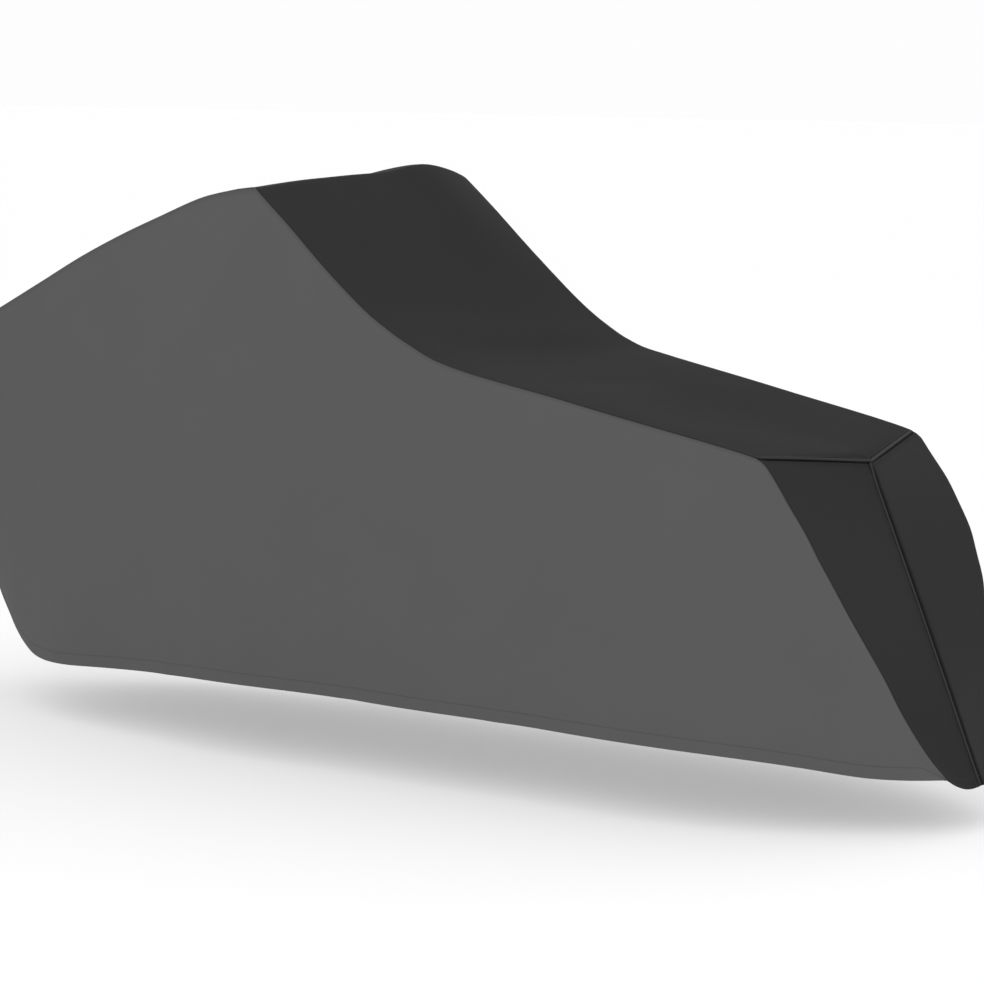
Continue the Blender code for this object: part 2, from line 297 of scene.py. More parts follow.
def make_sheet(name, outer, thick, weave_place, painted_shade, material):
    """One closed sheet of cloth under a grid of points, with its painted shade stored on it."""
    down, over = outer.shape[:2]
    inner = outer - thick[:, :, None] * outward(outer)
    under = down * over
    index = np.arange(under).reshape(down, over)
    quads = np.stack([index[:-1, :-1], index[1:, :-1], index[1:, 1:], index[:-1, 1:]], axis=2).reshape(-1, 4)
    rim = np.concatenate([index[0, :], index[1:, -1], index[-1, -2::-1], index[-2:0:-1, 0]])
    following = np.roll(rim, -1)
    rim_quads = np.stack([rim, following, following + under, rim + under], axis=1)
    faces = np.concatenate([quads, quads[:, ::-1] + under, rim_quads])
    points = np.concatenate([outer.reshape(-1, 3), inner.reshape(-1, 3)])
    piece = woven_piece(name, points, faces.tolist(), np.tile(weave_place.reshape(-1, 2), (2, 1)), material)
    shade = piece.data.attributes.new("painted_shade", "FLOAT", "POINT")
    shade.data.foreach_set("value", np.tile(painted_shade.ravel(), 2).astype(np.float32))
    return piece


def node(tree, kind, **values):
    """A node with its settings, and with its inputs by name."""
    made = tree.nodes.new(kind)
    for key, value in values.items():
        if key in made.inputs:
            made.inputs[key].default_value = value
        else:
            setattr(made, key, value)
    return made


def calculate(tree, operation, first, second):
    """A math node on two sockets or numbers."""
    made = node(tree, "ShaderNodeMath", operation=operation)
    for i, value in enumerate((first, second)):
        if isinstance(value, bpy.types.NodeSocket):
            tree.links.new(value, made.inputs[i])
        else:
            made.inputs[i].default_value = value
    return made.outputs[0]


# The weave, as one node group: threads over and under each other, uneven dye, and the painted shade stored on
# each piece
weave = bpy.data.node_groups.new("woven cover cloth", "ShaderNodeTree")
for socket, kind, value in (
    ("Place", "NodeSocketVector", None),
    ("Colour", "NodeSocketColor", (0.1, 0.1, 0.1, 1)),
    ("Threads per metre", "NodeSocketFloat", 1400),
    ("Unevenness", "NodeSocketFloat", 0.06),
    ("Painted shade", "NodeSocketFloat", 0),
    ("Depth", "NodeSocketFloat", 0.0002),
):
    made = weave.interface.new_socket(socket, in_out="INPUT", socket_type=kind)
    if value is not None:
        made.default_value = value
for socket, kind in (
    ("Colour", "NodeSocketColor"),
    ("Roughness", "NodeSocketFloat"),
    ("Normal", "NodeSocketVector"),
):
    weave.interface.new_socket(socket, in_out="OUTPUT", socket_type=kind)
given = weave.nodes.new("NodeGroupInput")
result = weave.nodes.new("NodeGroupOutput")
link = weave.links.new

thread_ways = node(weave, "ShaderNodeSeparateXYZ")
link(given.outputs["Place"], thread_ways.inputs[0])
turns = calculate(weave, "MULTIPLY", given.outputs["Threads per metre"], math.pi)
warp = calculate(weave, "SINE", calculate(weave, "MULTIPLY", thread_ways.outputs[0], turns), 0)
weft = calculate(weave, "SINE", calculate(weave, "MULTIPLY", thread_ways.outputs[1], turns), 0)
threads = calculate(weave, "MULTIPLY", warp, weft)
mottle = node(weave, "ShaderNodeTexNoise", Scale=7.0, Detail=5.0, Roughness=0.6)
link(given.outputs["Place"], mottle.inputs["Vector"])
slub = node(weave, "ShaderNodeTexNoise", Scale=260.0, Detail=2.0, Roughness=0.7)
link(given.outputs["Place"], slub.inputs["Vector"])
blotch = calculate(weave, "SUBTRACT", mottle.outputs[0], 0.5)
grain = calculate(weave, "SUBTRACT", slub.outputs[0], 0.5)
dye_change = calculate(weave, "ADD", calculate(weave, "MULTIPLY", blotch, MOTTLE_SHARE), grain)
dye_change = calculate(weave, "MULTIPLY", dye_change, given.outputs["Unevenness"])
# The colour is darkened by the painted shade stored on the piece
painted_shade_factor = calculate(weave, "SUBTRACT", 1.0, given.outputs["Painted shade"])
tone = calculate(weave, "MULTIPLY", calculate(weave, "ADD", dye_change, 1.0), painted_shade_factor)
dyed = node(weave, "ShaderNodeVectorMath", operation="SCALE")
link(given.outputs["Colour"], dyed.inputs[0])
link(tone, dyed.inputs["Scale"])
link(dyed.outputs[0], result.inputs["Colour"])
rougher = calculate(weave, "MULTIPLY", blotch, WEAVE_ROUGHNESS_CHANGE)
link(calculate(weave, "ADD", rougher, WEAVE_ROUGHNESS), result.inputs["Roughness"])
height = calculate(weave, "ADD", calculate(weave, "MULTIPLY", threads, THREAD_SHARE), grain)
bump = node(weave, "ShaderNodeBump", Strength=0.35)
link(height, bump.inputs["Height"])
link(given.outputs["Depth"], bump.inputs["Distance"])
link(bump.outputs[0], result.inputs["Normal"])


def cover_cloth(name, colour, threads_per_metre, unevenness, sheen):
    """A woven, proofed cover cloth on a piece's own weave layout."""
    material = bpy.data.materials.new(name)
    material.use_nodes = True
    tree = material.node_tree
    shader = tree.nodes["Principled BSDF"]
    group = tree.nodes.new("ShaderNodeGroup")
    group.node_tree = weave
    layout = node(tree, "ShaderNodeUVMap", uv_map="weave")
    # The painted shade stored on the piece, which darkens its colour
    shade = node(tree, "ShaderNodeAttribute", attribute_name="painted_shade")
    tree.links.new(layout.outputs[0], group.inputs["Place"])
    tree.links.new(shade.outputs["Fac"], group.inputs["Painted shade"])
    group.inputs["Colour"].default_value = (*colour, 1)
    group.inputs["Threads per metre"].default_value = threads_per_metre
    group.inputs["Unevenness"].default_value = unevenness
    for socket, target in (("Colour", "Base Color"), ("Roughness", "Roughness"), ("Normal", "Normal")):
        tree.links.new(group.outputs[socket], shader.inputs[target])
    shader.inputs["Specular IOR Level"].default_value = CLOTH_GLOSS
    shader.inputs["Sheen Weight"].default_value = sheen
    shader.inputs["Sheen Roughness"].default_value = SHEEN_ROUGHNESS
    return material


charcoal_cloth = cover_cloth(
    "charcoal_cloth", colour=(0.0215, 0.0215, 0.0215), threads_per_metre=1500, unevenness=0.10, sheen=0.01)


def strip_piece(name, grid, across, run, half_width, ends_dip, thick, stand=0, painted_flat_shade=0):
    """A full-width panel of the strip, its edges rolled into the side seams, with a dip at its ends."""
    from_side = (1 - abs(across)) * half_width
    run_grid = run[:, None] + 0 * across
    proud = stand + puckers(run_grid, from_side) - rolled(from_side) - ends_dip
    outer = grid + outward(grid) * proud[:, :, None]
    # Painted shade beside the side seams, and any painted shade given for the flat stretch
    shade = np.maximum(bell(from_side, SEAM_SHADE, SEAM_SHADE_WIDTH), painted_flat_shade)
    weave_place = np.stack([grid[:, :, 1], run_grid], axis=2)
    return make_sheet(name, outer, thick + 0 * across, weave_place, shade, charcoal_cloth), outer


tail_ribs, tail_run = ribs_of(TAIL_SEAM)
tail_base, tail_across = tail_grid(tail_ribs)
from_rear_hem = tail_run[:, None]
back_dip = END_ROLL_SHARE * rolled(from_rear_hem)
back_dip = back_dip + bell(tail_run[-1] - from_rear_hem, CREST_SEAM_DEPTH, CREST_SEAM_WIDTH)
back_cloth, back_outer = strip_piece(
    "back_cloth", tail_base, tail_across, tail_run, tail_ribs[:, 2:3], back_dip, hem_thickness(from_rear_hem))
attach(back_cloth, "root")
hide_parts("back_panel")

# -----------------------------------------------------------------------------------------------------------
# The top panel: the same charcoal cloth, sewn to the back panel over the crest. It runs down the hollow front
# slope and the long flat stretch to the V of the brow. The flat stretch, which faces the sky, is darkened a
# little by painted shade.
# The side seams, from the crest to the brow. Columns: x, z, half width, x of the side's hem below
TOP_SEAM = (
    (0.687, 1.136, 0.334, 0.690),
    (0.706, 1.120, 0.335, 0.715),
    (0.770, 1.068, 0.336, 0.778),
    (0.862, 0.986, 0.334, 0.865),
    (0.956, 0.910, 0.330, 0.955),
    (1.012, 0.873, 0.325, 1.012),
    (1.060, 0.847, 0.321, 1.060),
    (1.116, 0.822, 0.318, 1.120),
    (1.200, 0.800, 0.312, 1.205),
    (1.373, 0.768, 0.302, 1.367),
    (1.534, 0.736, 0.290, 1.508),
    (1.677, 0.709, 0.281, 1.625),
    (1.779, 0.689, 0.275, 1.703),
    (1.818, 0.679, 0.273, 1.740),
    (1.834, 0.668, 0.274, 1.765),
)
# The side seams, from the brow down the nose to the front hem. Columns as above
NOSE_SEAM = (
    (1.834, 0.668, 0.274, 1.765),
    (1.8515, 0.6457, 0.273, 1.787),
    (1.890, 0.595, 0.276, 1.832),
    (1.918, 0.553, 0.272, 1.867),
    (1.946, 0.505, 0.269, 1.898),
    (1.968, 0.460, 0.257, 1.922),
    (1.991, 0.410, 0.243, 1.947),
    (2.012, 0.350, 0.214, 1.972),
    (2.033, 0.290, 0.185, 1.998),
    (2.049, 0.232, 0.157, 2.027),
    (2.069, 0.180, 0.133, 2.055),
    (2.091, 0.138, 0.115, 2.083),
    (2.118, 0.102, 0.100, 2.118),
)
# Columns: x, how much higher the left seam is than the right one
LEFT_RISE = (
    (0.690, 0.0000),
    (0.710, 0.0005),
    (0.760, -0.0010),
    (0.800, 0.0000),
    (0.860, 0.0030),
    (0.950, 0.0045),
    (1.040, 0.0010),
    (1.120, -0.0030),
    (1.160, -0.0050),
    (1.210, -0.0035),
    (1.360, -0.0030),
    (1.500, 0.0000),
    (1.700, 0.0020),
    (1.790, 0.0018),
    (1.834, 0.0012),
)
# Soft ripples where the slope bends into the flat stretch. Columns: x, length, depth
TOP_RIPPLES = (
    (1.035, 0.034, 0.0022),
    (1.105, 0.030, -0.0018),
    (0.800, 0.045, 0.0016),
    (1.320, 0.050, -0.0016),
)
RIPPLE_SKEW = 0.05
CREST_FADE_FRONT = 0.30
TOP_SAG = 0.010
TOP_SAG_GROWTH = 0.45
BROW_TIP = (1.886, 0.655)
BROW_RAMP_X = 1.45
BROW_LEAN = 0.0235
BROW_LEAN_REACH = 0.30
NOSE_FOOT = (2.133, 0.079)
NOSE_HEM_DIP = 0.012
# Painted shade on the flat stretch, which faces the sky and catches more light: where it begins, how far it
# grows, how dark it gets
FLAT_START_X = 0.95
FLAT_GROWTH = 0.60
FLAT_PAINTED_SHADE = 0.37

left_rise_curve = smooth(LEFT_RISE, CREST_SPACING)
top_seam_line = smooth(TOP_SEAM, SEAM_SPACING)
front_seam = np.vstack([top_seam_line, smooth(NOSE_SEAM, SEAM_SPACING)[1:]])
front_run = run_along(front_seam[:, :2])
brow_run = front_run[len(top_seam_line) - 1]


def top_face(x, z, half_width, across):
    """The strip from crest to brow: lumped at the crest, slack in the middle, and pointed at the brow."""
    slack = (1 - across ** 2) ** 2
    up = z + np.interp(across, *crest_curve.T) * fade(x - HOLD[0], CREST_FADE_FRONT)
    up = up + np.interp(x, *left_rise_curve.T) * (1 + across) / 2
    sag_share = (1 - fade(x - HOLD[0], TOP_SAG_GROWTH)) * fade(x - BROW_RAMP_X, TOP_SAG_GROWTH)
    up = up - TOP_SAG * slack * sag_share
    corner_x, corner_z = TOP_SEAM[-1][:2]
    point_out = (1 - abs(across)) * (1 - fade(x - BROW_RAMP_X, corner_x - BROW_RAMP_X))
    up = up + (BROW_TIP[1] - corner_z) * point_out
    along = x + (BROW_TIP[0] - corner_x) * point_out
    return np.stack([along, across * half_width, up], axis=2)


def nose_face(x, z, half_width, across):
    """The strip below the brow, flat from the side seams to the centre seam, with a dipping hem."""
    drop = (NOSE_SEAM[0][1] - z) / (NOSE_SEAM[0][1] - NOSE_SEAM[-1][1])
    rise = LEFT_RISE[-1][1] * (1 + across) / 2 * (1 - drop)
    inward = 1 - abs(across)
    centre_x = BROW_TIP[0] + drop * (NOSE_FOOT[0] - BROW_TIP[0])
    centre_z = BROW_TIP[1] + drop * (NOSE_FOOT[1] - BROW_TIP[1])
    along = x + (centre_x - x) * inward
    dip = NOSE_HEM_DIP * np.sin(np.pi * inward) * np.clip(drop, 0, 1) ** 4
    up = z + rise + (centre_z - z - rise) * inward - dip
    return np.stack([along, across * half_width, up], axis=2)


def front_grid(ribs, run):
    """The outer face over some ribs, at their runs from the crest. The brow's seam ends a little behind the
    corners of the sides, so the ribs near it lean back to both seams."""
    across = places_across(ribs[:, 2])
    lean = BROW_LEAN * abs(across) * fade(abs(run - brow_run), BROW_LEAN_REACH)[:, None]
    leaned = run[:, None] - lean
    x, z, half_width = (np.interp(leaned, front_run, column) for column in front_seam.T[:3])
    on_top = (leaned <= brow_run)[:, :, None]
    return np.where(on_top, top_face(x, z, half_width, across), nose_face(x, z, half_width, across)), across


def ripples(grid, across):
    """How far the top panel's ripples stand out: highest in the middle, and a little askew."""
    x = grid[:, :, 0] - RIPPLE_SKEW * across
    return sum(bell(x - place, depth, length) for place, length, depth in TOP_RIPPLES) * (1 - across ** 2)


top_ribs, top_run = ribs_of(TOP_SEAM)
top_base, top_across = front_grid(top_ribs, top_run)
from_crest = top_run[:, None]
top_dip = bell(from_crest, CREST_SEAM_DEPTH, CREST_SEAM_WIDTH) + rolled(top_run[-1] - from_crest)
# Painted shade that darkens the flat stretch, growing from the foot of the slope towards the brow
flat_painted_shade = FLAT_PAINTED_SHADE * (1 - fade(top_base[:, :, 0] - FLAT_START_X, FLAT_GROWTH))
top_cloth, top_outer = strip_piece(
    "top_cloth", top_base, top_across, top_run, top_ribs[:, 2:3], top_dip, CLOTH_THICK,
    stand=ripples(top_base, top_across), painted_flat_shade=flat_painted_shade)
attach(top_cloth, "root")
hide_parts("top_panel")

# -----------------------------------------------------------------------------------------------------------
# The front: two mirrored halves of charcoal cloth that narrow from the brow down the nose, sewn together on
# the centre line. They are drawn in under the brow's piping and along the centre piping, and hemmed at the
# foot.
# How deep and how wide the cloth is drawn in, along the centre seam and along the brow
NOSE_GROOVE = 0.0020
NOSE_GROOVE_WIDTH = 0.006
BROW_GROOVE = 0.0034
BROW_GROOVE_WIDTH = 0.007
BROW_EDGE_SUNK = 0.0015
BROW_EDGE_WIDTH = 0.0018
BROW_GROOVE_END = 0.7
BROW_GROOVE_END_WIDTH = 0.008
# Painted shade in the grooves under the brow piping and beside the centre piping
BROW_SHADE = 0.75
CENTRE_SHADE = 0.92
# The painted shade along the centre seam, soft on the far half and broken off at the cord on the near one
FAR_SHADE_WIDTH = 0.0085
FAR_SHADE_SHARPNESS = 2
CORD_SHADE_WIDTH = 0.0065
CORD_SHADE_SHARPNESS = 6
CENTRE_PUCKER_SHIFT = 0.02

nose_ribs, nose_run = ribs_of(NOSE_SEAM)
nose_base, nose_across = front_grid(nose_ribs, brow_run + nose_run)
MIDDLE = nose_across.shape[1] // 2


def front_half(name, columns, shade_width, shade_sharpness):
    """One front half: sunk under the brow piping, and along the centre piping."""
    grid = nose_base[:, columns]
    across = nose_across[:, columns]
    half_width = nose_ribs[:, 2:3]
    from_side = (1 - abs(across)) * half_width
    from_centre = abs(across) * half_width
    from_brow = nose_run[:, None]
    from_hem = nose_run[-1] - nose_run[:, None]
    run_grid = nose_run[:, None] + 0 * across
    edge = bell(from_brow, 1, BROW_EDGE_WIDTH)
    brow_groove = bell(from_brow, BROW_GROOVE, BROW_GROOVE_WIDTH) * (1 - edge) + BROW_EDGE_SUNK * edge
    brow_groove = brow_groove * (1 - bell(from_side, BROW_GROOVE_END, BROW_GROOVE_END_WIDTH))
    groove = np.maximum(bell(from_centre, NOSE_GROOVE, NOSE_GROOVE_WIDTH), brow_groove)
    proud = puckers(run_grid, from_side) + puckers(run_grid + CENTRE_PUCKER_SHIFT, from_centre)
    proud = proud - rolled(from_side) - groove - END_ROLL_SHARE * rolled(from_hem)
    outer = grid + outward(grid) * proud[:, :, None]
    # Painted shade beside the side seams, under the brow and along the centre seam
    shade = np.maximum(bell(from_side, SEAM_SHADE, SEAM_SHADE_WIDTH),
                       bell(from_brow, BROW_SHADE, BROW_GROOVE_WIDTH))
    shade = np.maximum(shade, bell(from_centre, CENTRE_SHADE, shade_width, shade_sharpness))
    thick = hem_thickness(from_hem) + 0 * across
    weave_place = np.stack([grid[:, :, 1], run_grid], axis=2)
    return make_sheet(name, outer, thick, weave_place, shade, charcoal_cloth), outer


front_right_cloth, front_right_outer = front_half(
    "front_right_cloth", slice(0, MIDDLE + 1), CORD_SHADE_WIDTH, CORD_SHADE_SHARPNESS)
front_left_cloth, front_left_outer = front_half(
    "front_left_cloth", slice(MIDDLE, None), FAR_SHADE_WIDTH, FAR_SHADE_SHARPNESS)
for piece, solid in ((front_right_cloth, "front_right"), (front_left_cloth, "front_left")):
    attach(piece, "root")
    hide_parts(solid)

# -----------------------------------------------------------------------------------------------------------
# The side panels: one mid-grey panel of the same cloth on each side, flat-cut to the cover's whole outline
# and sewn to the edges of the charcoal strip. Each hangs free to a hem that is turned up and stitched.
# Columns: x, z, half width
HEM = (
    (-0.355, 0.340, 0.096),
    (-0.310, 0.305, 0.103),
    (-0.270, 0.263, 0.111),
    (-0.228, 0.217, 0.129),
    (-0.196, 0.183, 0.140),
    (-0.159, 0.159, 0.160),
    (-0.107, 0.135, 0.186),
    (-0.040, 0.118, 0.216),
    (0.069, 0.119, 0.260),
    (0.215, 0.129, 0.292),
    (0.526, 0.146, 0.330),
    (0.800, 0.148, 0.335),
    (1.100, 0.147, 0.335),
    (1.400, 0.143, 0.333),
    (1.600, 0.141, 0.324),
    (1.750, 0.136, 0.309),
    (1.900, 0.122, 0.255),
    (1.990, 0.106, 0.193),
    (2.050, 0.101, 0.147),
    (2.118, 0.102, 0.100),
)
SIDE_HOLLOW = 0.014
# Columns: depth, length, where the wave starts
SIDE_WAVES = ((0.0070, 0.52, 0.9), (0.0045, 0.83, 2.3))
# Soft folds pulled into the hanging cloth. Columns: from x, z; to x, z; width; how far out (in, if below 0)
SIDE_FOLDS = (
    (0.69, 1.08, 0.30, 0.66, 0.055, 0.0050),
    (0.74, 1.03, 0.96, 0.62, 0.050, 0.0042),
    (1.08, 0.80, 0.84, 0.48, 0.060, -0.0040),
    (1.80, 0.64, 1.46, 0.38, 0.050, 0.0038),
    (1.82, 0.61, 1.69, 0.24, 0.045, -0.0030),
    (-0.05, 0.87, 0.10, 0.46, 0.060, -0.0038),
    (-0.28, 0.74, -0.06, 0.34, 0.055, 0.0036),
    (0.43, 0.17, 0.47, 0.46, 0.050, 0.0036),
    (0.92, 0.17, 0.90, 0.40, 0.045, -0.0030),
    (1.27, 0.17, 1.23, 0.44, 0.050, 0.0034),
    (1.94, 0.20, 1.84, 0.40, 0.040, -0.0026),
)
# A fold's width at its start and how much it widens, how far it reaches back, and where and how it dies away
FOLD_WIDTH_START = 0.55
FOLD_WIDENS = 0.9
FOLD_BACK = 0.18
FOLD_DIES_FROM = 0.55
FOLD_DIES_OVER = 0.35
# Folds start this far below the seam, and are full only on a side this deep
FOLD_CLEAR = 0.03
FOLD_ROOM = 0.2
# The top edge is tucked under the strip's rolled edge. Columns: below the strip's face, inwards
SIDE_TOP_EDGE = (
    (0.0012, 0.0010),
    (0.0008, 0.0004),
    (0.0010, -0.0003),
)
END_SHORT = 0.25
SIDE_STEP = 0.0135
NEAR_HEM = (0.030, HEM_DEPTH, 0.019, 0.012, 0.006, 0.003, 0.0012, 0)
HEM_ROW_GAP = 0.004
SHORT_SIDE = 0.05
SIDE_HEM_ROLL_SHARE = 0.4
HEM_PUCKER_DEPTH = 0.0008
HEM_PUCKER_REACH = 0.03
HEM_PUCKER_SHIFT = 0.4
# Painted shade along the side panel's top seam
SIDE_SEAM_SHADE = 0.15
HEM_SPACING = 0.006
RIGHT = -1
LEFT = 1

mid_grey_cloth = cover_cloth(
    "mid_grey_cloth", colour=(0.092, 0.092, 0.092), threads_per_metre=1500, unevenness=0.06, sheen=0.015)
hem_curve = smooth(HEM, HEM_SPACING)
even_tail, even_top, even_nose = (
    ribs_of(seam, crowded=False)[0] for seam in (TAIL_SEAM, TOP_SEAM, NOSE_SEAM))


def shortened(rows):
    """The rows with both end ones drawn in a little, so that the side stops short of the strip's ends."""
    rows[0] += END_SHORT * (rows[1] - rows[0])
    rows[-1] += END_SHORT * (rows[-2] - rows[-1])
    return rows


def strip_edge(side):
    """The strip's edge line on one side, from the rear hem to the front one."""
    edge = 0 if side == RIGHT else -1
    both = np.array([[-1.0, 1.0]])
    tail_edge = tail_grid(even_tail)[0][:-1, edge]
    top_edge = top_face(*(even_top[:-1, i:i + 1] for i in range(3)), both)[:, edge]
    nose_edge = nose_face(*(even_nose[:, i:i + 1] for i in range(3)), both)[:, edge]
    return shortened(np.vstack([tail_edge, top_edge, nose_edge]))


def side_slack(x, share):
    """How far the hanging side stands out at x, a share of the way from the seam to the hem."""
    start = HEM[0][0]
    length = HEM[-1][0] - start
    room = np.sin(np.pi * np.clip((x - start) / length, 0, 1))
    waves = sum(depth * np.sin(2 * np.pi * x / wave + begin) for depth, wave, begin in SIDE_WAVES)
    return np.sqrt(room) * (waves * share ** 1.5 - SIDE_HOLLOW * np.sin(np.pi * share) ** 2)


def folds(x, z):
    """How far the soft folds stand out at each place on a side panel."""
    out = 0 * x
    for from_x, from_z, to_x, to_z, width, depth in SIDE_FOLDS:
        run_x, run_z = to_x - from_x, to_z - from_z
        length = math.hypot(run_x, run_z)
        along = ((x - from_x) * run_x + (z - from_z) * run_z) / length ** 2
        beside = ((x - from_x) * run_z - (z - from_z) * run_x) / length
        spread = width * (FOLD_WIDTH_START + FOLD_WIDENS * np.clip(along, 0, 1))
        before = np.clip(-along, 0, None) / FOLD_BACK
        beyond = np.clip(along - FOLD_DIES_FROM, 0, None) / FOLD_DIES_OVER
        out = out + depth * np.exp(-before ** 2 - beyond ** 2) * bell(beside, 1, spread)
    return out


def side_piece(name, side):
    """A side panel, tucked under the strip's rolled edge and hanging to its hem."""
    edges = strip_edge(side)
    steps = np.diff(edges, axis=0)
    steps /= np.hypot(steps[:, 0], steps[:, 2])[:, None]
    facing = np.stack([-steps[:, 2], 0 * steps[:, 0], steps[:, 0]], axis=1)
    before = np.vstack([facing[:1], facing])
    after = np.vstack([facing, facing[-1:]])
    face_out = (before + after) / (1 + np.sum(before * after, axis=1, keepdims=True))
    inwards = np.array([0, -side, 0])
    *tuck, top = [edges - below * face_out + inside * inwards for below, inside in SIDE_TOP_EDGE]
    foot_x = shortened(np.vstack([even_tail[:-1], even_top[:-1], even_nose]))[:, 3]
    hem_x, hem_z, hem_width = hem_curve.T
    foot_y = side * np.interp(foot_x, hem_x, hem_width)
    foot = np.stack([foot_x, foot_y, np.interp(foot_x, hem_x, hem_z)], axis=1)
    length = np.linalg.norm(foot - top, axis=1, keepdims=True)
    inside = np.arange(0, length.max() - NEAR_HEM[0], SIDE_STEP)
    crowding = np.minimum(1, length / SHORT_SIDE)
    hem_rows = length - np.array(NEAR_HEM)[None, :] * crowding
    inside_rows = (hem_rows[:, :1] - HEM_ROW_GAP * crowding) * (inside / inside[-1])[None, :]
    down = np.hstack([inside_rows, hem_rows])
    share = down / length
    face = top[:, None, :] + share[:, :, None] * (foot - top)[:, None, :]
    x, z = face[:, :, 0], face[:, :, 2]
    run = run_along(edges)[:, None] + 0 * share
    fold_share = np.minimum(1, down / FOLD_CLEAR) * np.minimum(1, length / FOLD_ROOM)
    hang = side_slack(x, share) + folds(x, z) * fold_share + puckers(run, down)
    hang = hang + puckers(run + HEM_PUCKER_SHIFT, length - down, HEM_PUCKER_DEPTH, HEM_PUCKER_REACH)
    face[:, :, 1] += side * (hang - SIDE_HEM_ROLL_SHARE * rolled(length - down))
    grid = np.concatenate([np.stack(tuck, axis=1), face], axis=1)
    from_hem = np.hstack([length, length, length - down])
    from_top = np.hstack([0 * length, 0 * length, down])
    if side == RIGHT:
        grid, from_hem, from_top = (values[:, ::-1] for values in (grid, from_hem, from_top))
    # Painted shade just under the top seam
    shade = bell(from_top, SIDE_SEAM_SHADE, SEAM_SHADE_WIDTH)
    return make_sheet(name, grid, hem_thickness(from_hem), grid[:, :, [0, 2]], shade, mid_grey_cloth), grid


side_right_cloth, side_right_grid = side_piece("side_right_cloth", RIGHT)
side_left_cloth, side_left_grid = side_piece("side_left_cloth", LEFT)
for piece, solid in ((side_right_cloth, "side_right"), (side_left_cloth, "side_left")):
    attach(piece, "root")
    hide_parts(solid)

# -----------------------------------------------------------------------------------------------------------
# The piping: a cord in a folded strip of smoother cloth, sewn into the V of the brow and down the nose beside
# its centre seam. It stands proud of the cloth, with a groove beside it darkened by painted shade as well as
# its own shadow.
PIPING_RADIUS = 0.0026
PIPING_TIP_RADIUS = 0.0003
PIPING_SIDES = 12
# A direction that neither cord follows
PIPING_TOP = np.array([0.3, 0.1, 1.0])
BROW_PIPING_OUT = 0.0012
BROW_PIPING_COLUMNS = slice(3, -5)
NOSE_PIPING_OUT = 0.0008
NOSE_PIPING_ASIDE = 0.0085
NOSE_PIPING_NEARER = 0.5
NOSE_PIPING_NEARER_REACH = 0.06
NOSE_PIPING_START = 3
NOSE_PIPING_COLUMN = -4

piping_cloth = cover_cloth(
    "piping_cloth", colour=(0.035, 0.035, 0.034), threads_per_metre=2200, unevenness=0.08, sheen=0.02)


def make_piping(name, line):
    """A round piping cord along a line of points, closed at both ends."""
    along = np.gradient(line, axis=0)
    along /= np.linalg.norm(along, axis=1, keepdims=True)
    beside = np.cross(along, PIPING_TOP)
    beside /= np.linalg.norm(beside, axis=1, keepdims=True)
    above = np.cross(beside, along)
    run = run_along(line)
    into_end = 1 - np.minimum(run, run[-1] - run) / PIPING_RADIUS
    radii = np.maximum(np.sqrt(1 - np.clip(into_end, 0, 1) ** 2) * PIPING_RADIUS, PIPING_TIP_RADIUS)
    angles = np.arange(PIPING_SIDES) * 2 * np.pi / PIPING_SIDES
    ring = np.cos(angles)[None, :, None] * beside[:, None] + np.sin(angles)[None, :, None] * above[:, None]
    points = (line[:, None] + radii[:, None, None] * ring).reshape(-1, 3)
    index = np.arange(len(line) * PIPING_SIDES).reshape(len(line), PIPING_SIDES)
    turned = np.roll(index, -1, axis=1)
    faces = np.stack([index[:-1], index[1:], turned[1:], turned[:-1]], axis=2).reshape(-1, 4).tolist()
    faces += [index[0].tolist(), index[-1, ::-1].tolist()]
    weave_place = np.stack([np.repeat(run, PIPING_SIDES), np.tile(angles * PIPING_RADIUS, len(line))], axis=1)
    return woven_piece(name, points, faces, weave_place, piping_cloth)


brow_out = outward(top_base)[-1] + outward(nose_base)[0]
brow_out /= np.linalg.norm(brow_out, axis=1, keepdims=True)
brow_line = top_base[-1] + BROW_PIPING_OUT * brow_out
brow_piping_cord = make_piping("brow_piping_cord", brow_line[BROW_PIPING_COLUMNS])

right_half = nose_base[:, :MIDDLE + 1]
to_right = right_half[:, NOSE_PIPING_COLUMN] - right_half[:, -1]
to_right /= np.linalg.norm(to_right, axis=1, keepdims=True)
aside = NOSE_PIPING_ASIDE * (1 - NOSE_PIPING_NEARER * fade(nose_run, NOSE_PIPING_NEARER_REACH))
nose_line = right_half[:, -1] + aside[:, None] * to_right
nose_line = nose_line + NOSE_PIPING_OUT * outward(right_half)[:, NOSE_PIPING_COLUMN]
nose_piping_cord = make_piping("nose_piping_cord", nose_line[NOSE_PIPING_START:])
for piece, solid in ((brow_piping_cord, "brow_piping"), (nose_piping_cord, "nose_piping")):
    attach(piece, "root")
    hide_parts(solid)

# -----------------------------------------------------------------------------------------------------------
# The stitching: rows of lockstitch in dark thread, beside every seam and along the hem. One tree of geometry
# nodes lays the stitches along each row.
STITCH_PITCH = 0.0048
STITCH_LENGTH = 0.0036
STITCH_RADIUS = 0.00034
STITCH_LIFT = 0.6
HEM_STITCH_IN = 0.003
THREAD_ROUGHNESS = 0.55
THREAD_GLOSS = 0.4
THREAD_DARKEST = 0.018
THREAD_LIGHTEST = 0.05

